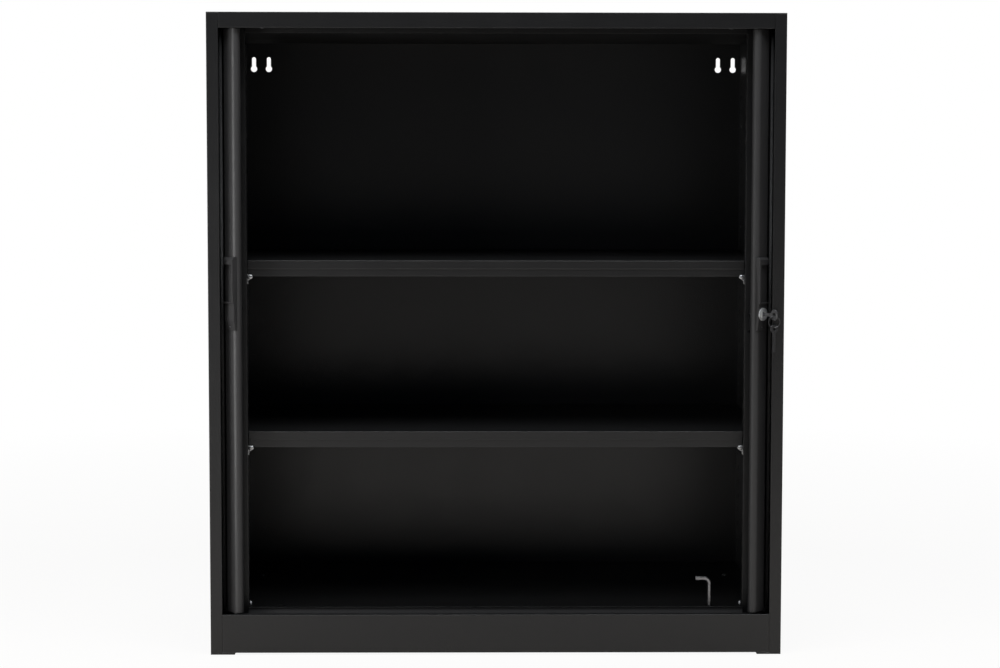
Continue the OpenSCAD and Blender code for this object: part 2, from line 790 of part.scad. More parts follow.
// The ring hangs in the hole of the key's bow, parallel to the cabinet's front.
module at_ring() {
    translate([glide_rest - hole_reach * sin(stile_turn), track_front - hole_reach * cos(stile_turn),
               lock_height - ring_drop]) children();
}
module key_ring() {
    chrome() at_right() at_ring() translate([0, 0, -ring_radius]) rotate([90, 0, 0])
        rotate_extrude() translate([ring_radius, 0, 0]) circle(r = ring_wire, $fn = 24);
}
module spare_key() {
    chrome() at_right() at_ring() translate([0, 0, -2 * ring_radius - ring_drop])
        rotate([0, 0, spare_turn]) rotate([90, 0, 0])
            translate([0, -key_blade - key_bow_reach, 0]) key_blank();
}

// Shelf folded from one sheet, notched round the front posts.
module shelf(seat) {
    top = seat + shelf_lip;
    narrow = post_inner + 0.7;
    wide = liner_wall + 0.7;
    front = shelf_front;
    step = post_back + 1;
    rear = back_face - 4;
    low = seat + sheet;
    steel() translate([-W / 2, -D / 2, 0]) {
        block([narrow, front, top - sheet], [W - narrow, step + sheet, top]);
        block([wide, step, top - sheet], [W - wide, rear, top]);
        block([narrow, front, top - shelf_band], [W - narrow, front + sheet, top]);
        block([narrow, front, top - shelf_band],
              [W - narrow, front + sheet + shelf_step, top - shelf_band + sheet]);
        block([narrow, front + shelf_step, seat],
              [W - narrow, front + shelf_step + sheet, top - shelf_band + sheet]);
        block([narrow, front + shelf_step, seat], [W - narrow, front + shelf_return, low]);
        block([wide, rear - sheet, seat], [W - wide, rear, top]);
        block([wide, rear - shelf_return, seat], [W - wide, rear, low]);
        for (s = [0, 1]) translate([s * W, 0, 0]) mirror([s, 0, 0]) {
            block([narrow, front + shelf_step, seat], [narrow + sheet, step + sheet, top]);
            block([narrow, front + shelf_step, seat], [narrow + shelf_return, step + sheet, low]);
            block([wide, step, seat], [narrow + sheet, step + sheet, top]);
            block([wide, step, seat], [wide + sheet, rear, top]);
            block([wide, step, seat], [wide + shelf_return, rear, low]);
        }
    }
}
module upper_shelf() { shelf(shelf_seat(upper_slot)); }
module lower_shelf() { shelf(shelf_seat(lower_slot)); }

// Clip hooked into a slot: plate against the wall, seat under the shelf, gusset, hook behind the sheet.
module clip(stop) {
    m = clip_metal;
    h = slot_height;
    w = clip_width / 2;
    block([0, -w, -h - 4], [m, w, 0]);
    block([0, -w, -m], [clip_reach, w, 0]);
    translate([0, m - w, 0]) rotate([90, 0, 0]) linear_extrude(m)
        polygon([[0, stop], [clip_reach, stop], [clip_reach, -m], [clip_reach / 2, -6], [0, -6]]);
    block([-sheet - m - 0.2, 0.3 - slot_width / 2, -h - 3.7], [m, slot_width / 2 - 0.3, -h - 3.7 + m + 1]);
    block([-sheet - m - 0.2, 0.3 - slot_width / 2, -h - 8], [-sheet - 0.2, slot_width / 2 - 0.3, -h - 2]);
}
module shelf_clips() {
    zinc() at_both() for (k = [lower_slot, upper_slot]) {
        translate([post_inner, clip_front_y, shelf_seat(k)]) clip(clip_stop);
        translate([liner_wall, clip_rear_y, shelf_seat(k)]) clip(0);
    }
}

module foot_bushes() {
    zinc() at_both() foot_places() translate([0, 0, pan_top - sheet - bush_length]) difference() {
        cylinder(r = bush_radius, h = bush_length);
        translate([0, 0, -1]) cylinder(r = spindle_radius + run_gap, h = bush_length + 2);
    }
}

module pad() {
    difference() {
        union() {
            cylinder(r = pad_radius, h = pad_height);
            cylinder(r1 = pad_radius - 4, r2 = spindle_radius + 3, h = pad_height + 4);
        }
        translate([0, 0, 3]) cylinder(r = spindle_radius, h = pad_height + 4);
    }
}
module spindle() {
    difference() {
        translate([0, 0, 3]) cylinder(r = spindle_radius, h = spindle_top - 3);
        translate([0, 0, socket_bottom]) cylinder(r = socket_corner, h = socket_depth + 1, $fn = 6);
    }
}
module front_left_pad() { nylon() at_left() translate(feet[0]) pad(); }
module front_left_spindle() { zinc() at_left() translate(feet[0]) spindle(); }
module front_right_pad() { nylon() at_right() translate(feet[0]) pad(); }
module front_right_spindle() { zinc() at_right() translate(feet[0]) spindle(); }
module rear_left_pad() { nylon() at_left() translate(feet[1]) pad(); }
module rear_left_spindle() { zinc() at_left() translate(feet[1]) spindle(); }
module rear_right_pad() { nylon() at_right() translate(feet[1]) pad(); }
module rear_right_spindle() { zinc() at_right() translate(feet[1]) spindle(); }

// The hexagon key stands in the front right spindle, its short arm to the left.
module hex_key() {
    top = deck_top + hex_rise;
    chrome() at_right() translate(feet[0]) {
        translate([0, 0, socket_bottom])
            cylinder(r = hex_corner, h = top - hex_bend - hex_flats / 2 - socket_bottom, $fn = 6);
        translate([0, 0, top - hex_bend - hex_flats / 2]) translate([hex_bend, 0, 0])
            rotate([90, 0, 0]) rotate([0, 0, 90]) rotate_extrude(angle = 90)
                translate([hex_bend, 0, 0]) circle(r = hex_corner, $fn = 6);
        translate([hex_bend, 0, top - hex_flats / 2]) rotate([0, 90, 0])
            cylinder(r = hex_corner, h = hex_arm - hex_bend, $fn = 6);
    }
}

module rail_buffers() {
    nylon() for (x = [-buffer_spread, buffer_spread])
        translate([x, lip_depth / 2 + 0.5 - D / 2, 0]) {
            translate([0, 0, rail_bottom - 0.7]) cylinder(r = buffer_head, h = 0.7);
            translate([0, 0, rail_bottom]) cylinder(r = 1.6, h = sheet + 0.1);
            translate([0, 0, rail_bottom + sheet]) cylinder(r1 = 2.1, r2 = 1.4, h = 2.5);
        }
}

left_side();
right_side();
top_panel();
top_pan();
ceiling();
base_pan();
deck();
plinth();
back_panel();
back_rivets();
left_liner();
right_liner();
bottom_front_track();
top_front_track();
left_corner_guides();
right_corner_guides();
left_side_tracks();
right_side_tracks();
left_slats();
right_slats();
left_glides();
right_glides();
left_stile();
right_stile();
left_handle();
right_handle();
left_handle_screws();
right_handle_screws();
lock_barrel();
lock_nut();
lock_plug();
lock_cam();
cam_screw();
keeper();
key();
key_ring();
spare_key();
upper_shelf();
lower_shelf();
shelf_clips();
foot_bushes();
front_left_pad();
front_left_spindle();
front_right_pad();
front_right_spindle();
rear_left_pad();
rear_left_spindle();
rear_right_pad();
rear_right_spindle();
hex_key();
deck_screws();
rail_buffers();
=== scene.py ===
# Tambour door cabinet: looks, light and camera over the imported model.
# Metres, +Z up, the front faces -Y, origin on the floor under the middle of the cabinet.
import math

import bmesh
import bpy
from mathutils import Matrix, Vector


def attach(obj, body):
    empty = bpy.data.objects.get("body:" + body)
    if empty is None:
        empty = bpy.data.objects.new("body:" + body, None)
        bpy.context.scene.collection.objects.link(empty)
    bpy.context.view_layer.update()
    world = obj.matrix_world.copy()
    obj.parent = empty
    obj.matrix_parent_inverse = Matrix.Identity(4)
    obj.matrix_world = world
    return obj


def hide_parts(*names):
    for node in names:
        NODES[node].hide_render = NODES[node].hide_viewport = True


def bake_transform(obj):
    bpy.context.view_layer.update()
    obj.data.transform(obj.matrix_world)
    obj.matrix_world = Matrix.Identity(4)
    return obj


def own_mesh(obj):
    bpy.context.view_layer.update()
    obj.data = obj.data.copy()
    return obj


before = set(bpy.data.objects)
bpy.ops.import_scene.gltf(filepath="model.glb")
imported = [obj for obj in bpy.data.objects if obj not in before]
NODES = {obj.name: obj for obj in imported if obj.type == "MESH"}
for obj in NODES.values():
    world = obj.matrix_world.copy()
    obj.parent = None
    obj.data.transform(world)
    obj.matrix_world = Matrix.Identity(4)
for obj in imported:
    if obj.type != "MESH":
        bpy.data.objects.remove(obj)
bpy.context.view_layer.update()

# Sizes below are millimetres, the same as in the solids. u runs in from the side that a door
# belongs to, v runs back from the front, z runs up from the floor.
MM = 0.001
WIDTH, DEPTH = 908.0, 470.0
SIDES = ("left", "right")

# Tambour track: its middle line's place along the side and along the front, and its corner
TRACK_SIDE, TRACK_FRONT, CORNER_R = 11.0, 16.0, 30.0
CORNER_U, CORNER_V = TRACK_SIDE + CORNER_R, TRACK_FRONT + CORNER_R
SLAT_PITCH, SLAT_COUNT, SLAT_T = 16.0, 26, 7.0
SLAT_LOW, SLAT_HIGH = 53.3, 1004.7
# Angle round the corner of the first slat, and the angle at which the slats in the corner end
FIRST_SLAT, CORNER_END = math.radians(28), math.radians(50)
# Slats drawn fixed in the corner, the number of the first slat drawn with the pocket's, and
# the share of their length that the pocket's slats keep when the door is shut
CORNER_SLATS, POCKET_FIRST, POCKET_KEPT = 3, 2, 0.02
# Place of a stile's glide when its door is open, and how far it travels
GLIDE_U, TRAVEL = 41.0, 400.5
# The run over the opening lies folded up between these two places when the door is open. A
# place in it is found by this many halvings
RUN_START, RUN_END, HALVINGS = 22.7, 19.2, 60

# Slat outline. Outer face: points in from the edge and down from the face, with the groove
# between two slats and the crown in the middle. Inner face: points in from the edge and up.
SLAT_EDGE = ((0.35, 2.4), (0.5, 1.0), (0.9, 0.45), (1.6, 0.12), (3.2, 0.0))
SLAT_BACK = ((1.0, 1.4), (2.0, 0.2), (3.0, 0.0))
GROOVE_OUT, GROOVE_IN, CROWN = 2.6, 3.6, 0.05

# Narrow last slat on the stile's tail: distance behind the glide, half thickness there, and
# how much shorter it is than a slat at its foot and at its head
FLAP_HALF = ((16.0, 3.4), (20.9, 3.4), (21.3, 3.2), (21.5, 2.8))
FLAP_SHORT_FOOT, FLAP_SHORT_HEAD = 12.7, 14.2

# Domed bezel of the lock: radius and height above the stile's middle plane
BEZEL = ((4.7, 12.9), (4.7, 13.5), (4.9, 13.75), (5.3, 13.8), (6.2, 13.45), (7.4, 12.95),
         (8.6, 12.35), (9.6, 11.75), (10.3, 11.2), (10.3, 10.9))
BEZEL_STEPS, LOCK_Z = 64, 543.0

# Rounded noses pressed in the front clips: place, half width and height, drop below the
# shelf's seat, and the dome's rings as share of the half size and height
NOSE_U, NOSE_V, NOSE_HALF, NOSE_DROP = 60.6, 60.65, (4.7, 3.5), 0.8
NOSE_RINGS = ((1.0, 0.0), (1.0, 0.5), (0.93, 1.0), (0.78, 1.45), (0.55, 1.75), (0.28, 1.9))
NOSE_STEPS, SHELF_SEATS = 40, (324.5, 599.5)

# Real rounding of the edges of some solids: width for each node, the number of its steps, the
# least angle of an edge that is rounded, and the reach within which loose corners are welded
ROUNDINGS = {"left_handle": 0.5, "right_handle": 0.5, "key": 0.5, "spare_key": 0.5,
             "shelf_clips": 0.4}
ROUNDING_STEPS, ROUNDING_ANGLE, WELD_REACH = 2, math.radians(35), 0.01

# Colours, linear
BLACK_COAT = (0.0060, 0.0060, 0.0063)
BLACK_PROFILE = (0.020, 0.0195, 0.020)
BLACK_SLAT = (0.008, 0.008, 0.0085)
BLACK_NYLON = (0.006, 0.006, 0.0065)
DARK_GREY_NYLON = (0.09, 0.09, 0.095)
ZINC = (0.42, 0.425, 0.43)
BLACK_ZINC = (0.020, 0.020, 0.021)
BLACK_OXIDE = (0.26, 0.26, 0.265)
KEY_STEEL = (0.10, 0.10, 0.103)
CHROME = (0.85, 0.86, 0.87)
# Paler colour for the painted light on the deck's front lip
LIP_PAINTED_LIGHT = (0.055, 0.054, 0.055)
FLOOR_COLOUR = (0.93, 0.87, 0.81)

# Painted light on the deck's front lip, in metres of the row frame: the plane that parts lip and
# deck, half the width of the change there, and the heights where the painted light is full and
# where it ends
LIP_PLANE, LIP_BLUR, LIP_FOOT, LIP_TOP = -0.1890, 0.0002, 0.0612, 0.0662

# Floor, in metres. It shows to the camera as plain white by this share, and wholly beyond
# the second of two distances
FLOOR_RADIUS, FLOOR_RINGS, FLOOR_STEPS, FLOOR_Z = 9.0, 10, 48, -0.0004
STAGE_SHOWN, STAGE_FADE = 0.92, (1.0, 3.0)

# Lamps: name, place, target, width and height in metres, watts, colour, spread in degrees
LAMPS = (
    ("softbox_over", (0.0, -1.2, 2.5), (0.0, -1.2, 0.0), (3.0, 1.3), 75, (0.95, 0.975, 1.0), 180),
    ("softbox_left", (-1.53, -0.93, 0.55), (-0.75, -0.23, 0.56), (0.9, 0.95), 2.3, (1, 1, 1), 45),
)

# World: strength in front of the cabinet and behind it, the directions between which it
# turns, and a tint that leaves as it gets brighter
WORLD_DIM, WORLD_PALE, WORLD_TURN = 0.035, 0.7, (0.1, 0.45)
WORLD_TINT, WORLD_TINT_LEAVES = (0.62, 0.76, 1.0), (0.1, 0.6)

# Camera at the photograph's viewpoint, angles in radians
CAMERA_PLACE = (-0.04675, -4.06129, 0.81636)
CAMERA_YAW, CAMERA_PITCH, CAMERA_ROLL = 0.01363, 0.07931, 0.00145
CAMERA_LENS, CAMERA_SENSOR, CAMERA_REACH = 87.612, 36.0, 60

# Colour sockets of Blender's mix node: the two that go in, and the one that comes out
MIX_COLOURS, MIX_RESULT = slice(6, 8), 2


def new_material(name):
    material = bpy.data.materials.new(name)
    material.use_nodes = True
    tree = material.node_tree
    return material, tree, tree.nodes["Principled BSDF"]


def add(tree, kind, **values):
    """A new node. values are its settings, or its sockets with _ for a space."""
    node = tree.nodes.new(kind)
    for key, value in values.items():
        if hasattr(node, key):
            setattr(node, key, value)
        else:
            node.inputs[key.replace("_", " ")].default_value = value
    return node


def object_space(tree, stretch=(1, 1, 1)):
    place = add(tree, "ShaderNodeTexCoord")
    scale = add(tree, "ShaderNodeMapping", Scale=stretch)
    tree.links.new(place.outputs["Object"], scale.inputs["Vector"])
    return scale.outputs["Vector"]


def noise(tree, vector, scale, detail=3.0, roughness=0.5):
    node = add(tree, "ShaderNodeTexNoise", Scale=scale, Detail=detail, Roughness=roughness)
    tree.links.new(vector, node.inputs["Vector"])
    return node.outputs["Fac"]


def ramp(tree, value, given, wanted):
    """Maps the pair given to the pair wanted, in a straight line and no further."""
    node = add(tree, "ShaderNodeMapRange", From_Min=given[0], From_Max=given[1],
               To_Min=wanted[0], To_Max=wanted[1])
    tree.links.new(value, node.inputs["Value"])
    return node.outputs["Result"]


def maths(tree, operation, a, b):
    node = add(tree, "ShaderNodeMath", operation=operation)
    for socket, value in zip(node.inputs, (a, b)):
        if isinstance(value, (int, float)):
            socket.default_value = value
        else:
            tree.links.new(value, socket)
    return node.outputs["Value"]


def mixed(tree, factor, first, second):
    """The first colour turning into the second. Each is a linear colour or a socket."""
    node = add(tree, "ShaderNodeMix", data_type="RGBA")
    tree.links.new(factor, node.inputs["Factor"])
    for socket, colour in zip(node.inputs[MIX_COLOURS], (first, second)):
        if isinstance(colour, tuple):
            socket.default_value = (*colour, 1)
        else:
            tree.links.new(colour, socket)
    return node.outputs[MIX_RESULT]


def scaled(colour, factor):
    return tuple(min(1.0, c * factor) for c in colour)


def varied(tree, factor, colour, darker, paler):
    """A colour that wanders between a darker and a paler one, each given as a multiple."""
    return mixed(tree, factor, scaled(colour, darker), scaled(colour, paler))


def rounded_normal(tree, radius):
    return add(tree, "ShaderNodeBevel", samples=4, Radius=radius).outputs["Normal"]


def edge_wear(tree, normal, gain):
    """How much the rounded normal leaves the plain one: 0 on flats, towards 1 on edges."""
    plain = add(tree, "ShaderNodeNewGeometry")
    dot = add(tree, "ShaderNodeVectorMath", operation="DOT_PRODUCT")
    tree.links.new(normal, dot.inputs[0])
    tree.links.new(plain.outputs["Normal"], dot.inputs[1])
    turned = maths(tree, "SUBTRACT", 1.0, dot.outputs["Value"])
    return maths(tree, "MULTIPLY", turned, gain)


def rubbed(tree, tone, share, paler):
    """The tone with a paler colour laid over it by a share, which is held between 0 and 1."""
    clamp = add(tree, "ShaderNodeClamp")
    tree.links.new(share, clamp.inputs["Value"])
    return mixed(tree, clamp.outputs["Result"], tone, paler)


def bump(tree, height, normal, strength, distance):
    """The normal bent by a height, which is distance metres high where it is 1."""
    node = add(tree, "ShaderNodeBump", Strength=strength, Distance=distance)
    tree.links.new(height, node.inputs["Height"])
    tree.links.new(normal, node.inputs["Normal"])
    return node.outputs["Normal"]


def connect(tree, shader, colour, roughness, normal):
    for socket, value in (("Base Color", colour), ("Roughness", roughness), ("Normal", normal)):
        tree.links.new(value, shader.inputs[socket])


def painted_light_lip(tree, colour):
    """Painted light on the deck's front lip, paler towards its foot, laid over a colour."""
    place = add(tree, "ShaderNodeNewGeometry")
    split = add(tree, "ShaderNodeSeparateXYZ")
    tree.links.new(place.outputs["Position"], split.inputs["Vector"])
    front = ramp(tree, split.outputs["Y"], (LIP_PLANE - LIP_BLUR, LIP_PLANE + LIP_BLUR), (1.0, 0.0))
    low = ramp(tree, split.outputs["Z"], (LIP_FOOT, LIP_TOP), (1.0, 0.0))
    return mixed(tree, maths(tree, "MULTIPLY", front, low), colour, LIP_PAINTED_LIGHT)


def powder_coat(name, colour, roughness=0.34, wear=0.5, specular=0.5, edge=0.0018, painted_lip_light=False):
    """Powder coat: orange peel, a fine grain, cloudy gloss and edges rubbed a little paler; if
    asked, painted light on the deck's front lip.
    """
    material, tree, shader = new_material(name)
    place = object_space(tree)
    normal = rounded_normal(tree, edge)
    worn = edge_wear(tree, normal, gain=2.2)
    clouds = noise(tree, place, scale=5.0, detail=4.0)
    tone = varied(tree, clouds, colour, darker=0.9, paler=1.1)
    patches = noise(tree, place, scale=38.0, detail=5.0, roughness=0.65)
    rub = maths(tree, "MULTIPLY", worn, ramp(tree, patches, (0.42, 0.62), (0.0, wear)))
    shown = rubbed(tree, tone, rub, paler=scaled(colour, 5.0))
    # Painted light on the deck's front lip, paler towards its foot
    if painted_lip_light:
        shown = painted_light_lip(tree, shown)
    gloss = ramp(tree, noise(tree, place, scale=17.0, detail=5.0), (0.3, 0.7),
                 (roughness - 0.015, roughness + 0.025))
    peel = noise(tree, place, scale=420.0, detail=2.0)
    grain = noise(tree, place, scale=2600.0, detail=1.0)
    height = maths(tree, "ADD", peel, maths(tree, "MULTIPLY", grain, 0.3))
    bumped = bump(tree, height, normal, strength=0.35, distance=0.0005)
    connect(tree, shader, shown, gloss, bumped)
    shader.inputs["Specular IOR Level"].default_value = specular
    return material


def moulded(name, colour, roughness, streak=(1, 1, 1), specular=0.5):
    """Moulded or extruded plastic: satin, streaked along its length, edges a shade paler."""
    material, tree, shader = new_material(name)
    normal = rounded_normal(tree, 0.0008)
    worn = edge_wear(tree, normal, gain=1.6)
    place = object_space(tree)
    drawn = noise(tree, object_space(tree, streak), scale=9.0)
    tone = varied(tree, drawn, colour, darker=0.85, paler=1.15)
    rub = maths(tree, "MULTIPLY", worn, 0.5)
    shown = rubbed(tree, tone, rub, paler=scaled(colour, 2.2))
    gloss = ramp(tree, noise(tree, place, scale=30.0, detail=4.0), (0.3, 0.7),
                 (roughness - 0.04, roughness + 0.05))
    fine = noise(tree, place, scale=1800.0, detail=2.0)
    bumped = bump(tree, fine, normal, strength=0.12, distance=0.0001)
    connect(tree, shader, shown, gloss, bumped)
    shader.inputs["Specular IOR Level"].default_value = specular
    return material


def zinc_plate(name, colour):
    """Zinc plate: faint spangle, uneven gloss and small scratches."""
    material, tree, shader = new_material(name)
    place = object_space(tree)
    normal = rounded_normal(tree, 0.0005)
    spangle = add(tree, "ShaderNodeTexVoronoi", Scale=700.0)
    tree.links.new(place, spangle.inputs["Vector"])
    blend = maths(tree, "ADD", maths(tree, "MULTIPLY", spangle.outputs["Distance"], 0.6),
                  noise(tree, place, scale=160.0, detail=4.0))
    tone = varied(tree, ramp(tree, blend, (0.3, 1.1), (0.0, 1.0)), colour, darker=0.8, paler=1.15)
    gloss = ramp(tree, noise(tree, place, scale=240.0, detail=4.0), (0.3, 0.7), (0.26, 0.44))
    scratch = noise(tree, object_space(tree, (1, 14, 1)), scale=900.0)
    bumped = bump(tree, scratch, normal, strength=0.15, distance=0.00005)
    connect(tree, shader, tone, gloss, bumped)
    shader.inputs["Metallic"].default_value = 1.0
    return material


def fine_metal(name, colour, roughness):
    """Chrome, nickel or black oxide: fine hairlines and a few duller smears."""
    material, tree, shader = new_material(name)
    place = object_space(tree)
    normal = rounded_normal(tree, 0.0004)
    tone = varied(tree, noise(tree, place, scale=90.0, detail=4.0), colour, darker=0.88, paler=1.08)
    smear = ramp(tree, noise(tree, place, scale=220.0, detail=5.0), (0.35, 0.75),
                 (roughness, roughness + 0.14))
    hairline = noise(tree, object_space(tree, (1, 1, 30)), scale=700.0, detail=2.0)
    bumped = bump(tree, hairline, normal, strength=0.1, distance=0.00003)
    connect(tree, shader, tone, smear, bumped)
    shader.inputs["Metallic"].default_value = 1.0
    return material


# Coat of the faces inside: the same coat made darker, which is painted shade, and the stretch of a
# noise that makes streaks along Z
SHADED_INNER_BLACK = scaled(BLACK_COAT, 0.6)
ALONG_Z = (60, 60, 1.5)

COAT = powder_coat("coat_black", BLACK_COAT)
# The back panel, deck and ceiling take the darker copy of the coat: painted shade deep inside the
# cabinet
INNER_COAT = powder_coat("coat_black_inside", SHADED_INNER_BLACK, roughness=0.30, wear=0.3)
# The deck's coat carries painted light on its front lip
DECK_COAT = powder_coat("coat_black_deck", SHADED_INNER_BLACK, roughness=0.30, wear=0.0, edge=0.0005,
                        painted_lip_light=True)
CEILING_COAT = powder_coat("coat_black_ceiling", SHADED_INNER_BLACK, roughness=0.55, wear=0.3,
                           specular=0.25)
PROFILE = moulded("profile_black", BLACK_PROFILE, roughness=0.52, streak=ALONG_Z, specular=0.6)
HANDLE = moulded("handle_black", scaled(BLACK_PROFILE, 1.1), roughness=0.48)
SLAT = moulded("slat_black", BLACK_SLAT, roughness=0.42, streak=ALONG_Z)
NYLON = moulded("nylon_black", BLACK_NYLON, roughness=0.5, specular=0.35)
GREY_NYLON = moulded("nylon_grey", DARK_GREY_NYLON, roughness=0.5)
PLATE = zinc_plate("zinc_plate", ZINC)
DARK_PLATE = zinc_plate("zinc_black", BLACK_ZINC)
SATIN_CHROME = fine_metal("chrome_plate", CHROME, roughness=0.48)
OXIDE = fine_metal("oxide_black", BLACK_OXIDE, roughness=0.3)
STEEL_KEY = fine_metal("nickel_dull", KEY_STEEL, roughness=0.34)

NODE_MATERIALS = {
    COAT: ("left_side", "right_side", "top_panel", "plinth", "base_pan", "top_pan", "left_liner",
           "right_liner", "upper_shelf", "lower_shelf"),
    INNER_COAT: ("back_panel",),
    DECK_COAT: ("deck",),
    CEILING_COAT: ("ceiling",),
    GREY_NYLON: ("rail_buffers",),
    PROFILE: ("left_stile", "right_stile"),
    HANDLE: ("left_handle", "right_handle"),
    SLAT: ("left_slats", "right_slats"),
    NYLON: ("bottom_front_track", "top_front_track", "left_corner_guides", "right_corner_guides",
            "left_side_tracks", "right_side_tracks", "left_glides", "right_glides",
            "front_left_pad", "front_right_pad", "rear_left_pad", "rear_right_pad"),
    PLATE: ("back_rivets", "shelf_clips", "foot_bushes", "deck_screws", "left_handle_screws",
            "right_handle_screws", "front_left_spindle", "front_right_spindle",
            "rear_left_spindle", "rear_right_spindle"),
    DARK_PLATE: ("lock_nut", "lock_cam", "cam_screw", "keeper"),
    SATIN_CHROME: ("lock_barrel", "lock_plug"),
    OXIDE: ("hex_key",),
    STEEL_KEY: ("key", "key_ring", "spare_key"),
}


def set_material(thing, material):
    thing.data.materials.clear()
    thing.data.materials.append(material)


def soften(thing, width):
    """Small real rounding on the edges of a solid; its own mesh stays as it is."""
    weld = thing.modifiers.new("weld", "WELD")
    weld.merge_threshold = WELD_REACH * MM
    bevel = thing.modifiers.new("rounding", "BEVEL")
    bevel.limit_method = "ANGLE"
    bevel.angle_limit = ROUNDING_ANGLE
    bevel.width = width * MM
    bevel.segments = ROUNDING_STEPS
    bevel.use_clamp_overlap = True


for material, names in NODE_MATERIALS.items():
    for name in names:
        set_material(NODES[name], material)
for name, width in ROUNDINGS.items():
    soften(NODES[name], width)


def new_object(name, data):
    thing = bpy.data.objects.new(name, data)
    bpy.context.scene.collection.objects.link(thing)
    return thing


def mesh_object(name, made):
    mesh = bpy.data.meshes.new(name)
    made.to_mesh(mesh)
    made.free()
    return new_object(name, mesh)


def piece(name, made, material, smooth=True):
    """A piece of the visual model. Its four-cornered faces shade smoothly unless told not to."""
    bmesh.ops.recalc_face_normals(made, faces=made.faces)
    thing = mesh_object(name, made)
    for face in thing.data.polygons:
        face.use_smooth = smooth and len(face.vertices) == 4
    set_material(thing, material)
    return thing


def bridge(made, rings):
    """Joins closed rings of vertices, each to the next."""
    for a, b in zip(rings, rings[1:]):
        for k in range(len(a)):
            j = (k + 1) % len(a)
            made.faces.new((a[k], a[j], b[j], b[k]))


def circle(steps):
    """Cosine and sine of evenly spaced angles, once round."""
    angles = [2 * math.pi * k / steps for k in range(steps)]
    return [(math.cos(a), math.sin(a)) for a in angles]


def to_row(u, v, z, side):
    """A point of the row frame in metres from u, v and z in millimetres."""
    x = (u - WIDTH / 2) * (1 if side == "left" else -1)
    return (x * MM, (v - DEPTH / 2) * MM, z * MM)


def track_line(arc):
    """Place and direction in plan: in the pocket before 0, round the track's corner after it."""
    if arc < 0:
        return (TRACK_SIDE, CORNER_V - arc), (0.0, -1.0)
    a = arc / CORNER_R
    return ((CORNER_U - CORNER_R * math.cos(a), CORNER_V - CORNER_R * math.sin(a)),
            (math.sin(a), -math.cos(a)))


def run_line(closed_u):
    """Folded place of a point of the run over the opening whose place is given for a shut door.

    The point moves by its share of the travel, which rises smoothly from 0 to 1 along the run.
    """
    low, high = 0.0, 1.0
    for _ in range(HALVINGS):
        t = (low + high) / 2
        share = t * t * (3 - 2 * t)
        if RUN_START + (RUN_END - RUN_START) * t + TRAVEL * share < closed_u:
            low = t
        else:
            high = t
    return (RUN_START + (RUN_END - RUN_START) * (low + high) / 2, TRACK_FRONT), (1.0, 0.0)


def stile_line(along):
    """Place and direction in plan on the stile's middle plane at rest, from its glide on."""
    c = math.sqrt(0.5)
    return (GLIDE_U + along * c, TRACK_FRONT - along * c), (c, -c)


def beside(line, along, out, z, side):
    """Point of the row frame at a distance outwards from a line in plan."""
    (u, v), (tu, tv) = line(along)
    return to_row(u + tv * out, v - tu * out, z, side)


def slat_outline(pitch):
    """One pitch of the curtain: (along, out) pairs of the outer face, then of the inner face."""
    half, t = pitch / 2, SLAT_T / 2
    outer = [(-half, t - GROOVE_OUT)]
    outer += [(-half + inset, t - drop) for inset, drop in SLAT_EDGE]
    outer += [(0.0, t + CROWN)]
    outer += [(half - inset, t - drop) for inset, drop in reversed(SLAT_EDGE)]
    inner = [(-half, t - GROOVE_IN)]
    inner += [(-half + inset, -t + rise) for inset, rise in SLAT_BACK]
    inner += [(half - inset, -t + rise) for inset, rise in reversed(SLAT_BACK)]
    return outer, inner


def strip(name, middles, side, line=track_line, pitch=SLAT_PITCH):
    """A run of joined slats, whose middles are given as lengths along a line in plan."""
    made = bmesh.new()

    def lay(face, z):
        points = [(middle + along, out) for middle in middles for along, out in face]
        points.append((middles[-1] + pitch / 2, face[0][1]))
        return [made.verts.new(beside(line, along, out, z, side)) for along, out in points]

    def quads(a, b):
        for i in range(len(a) - 1):
            made.faces.new((a[i], a[i + 1], b[i + 1], b[i]))

    outer, inner = slat_outline(pitch)
    outer_low, outer_high = lay(outer, SLAT_LOW), lay(outer, SLAT_HIGH)
    inner_low, inner_high = lay(inner, SLAT_LOW), lay(inner, SLAT_HIGH)
    quads(outer_low, outer_high)
    quads(inner_high, inner_low)
    for out_row, in_row in ((outer_low, inner_low), (outer_high, inner_high)):
        for k in range(len(middles)):
            o = out_row[k * len(outer):(k + 1) * len(outer) + 1]
            i = in_row[k * len(inner):(k + 1) * len(inner) + 1]
            made.faces.new(o + i[::-1])
    for end in (0, -1):
        made.faces.new((outer_low[end], outer_high[end], inner_high[end], inner_low[end]))
    return piece(name, made, SLAT)


def flap(side):
    """The narrow last slat on the stile's tail; it meets the run when the door is shut."""
    outline = [(-back, half) for back, half in FLAP_HALF]
    outline += [(-back, -half) for back, half in reversed(FLAP_HALF)]
    made = bmesh.new()
    ends = (SLAT_LOW + FLAP_SHORT_FOOT, SLAT_HIGH - FLAP_SHORT_HEAD)
    rings = [[made.verts.new(beside(stile_line, along, out, z, side)) for along, out in outline]
             for z in ends]
    bridge(made, rings)
    made.faces.new(rings[0][::-1])
    made.faces.new(rings[1])
    thing = piece(side + "_stile_flap", made, SLAT, smooth=False)
    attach(thing, side + "_door_stile")


def curtain(side):
    """One door's curtain: slats in the pocket, slats in the corner, the run over the opening."""
    first = CORNER_R * FIRST_SLAT
    in_pocket = [first - i * SLAT_PITCH for i in range(SLAT_COUNT - 1, POCKET_FIRST - 1, -1)]
    pocket = strip(side + "_pocket_curtain", in_pocket, side)
    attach(pocket, "cabinet")
    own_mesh(pocket)

    last = CORNER_R * CORNER_END - SLAT_PITCH / 2
    in_corner = [last - i * SLAT_PITCH for i in range(CORNER_SLATS - 1, -1, -1)]
    corner = strip(side + "_corner_curtain", in_corner, side)
    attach(corner, "cabinet")
    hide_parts(side + "_slats")

    length = RUN_END + TRAVEL - RUN_START
    count = round(length / SLAT_PITCH)
    over_opening = [RUN_START + length / count * (i + 0.5) for i in range(count)]
    run = strip(side + "_front_curtain", over_opening, side, run_line, length / count)
    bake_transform(run)
    flap(side)


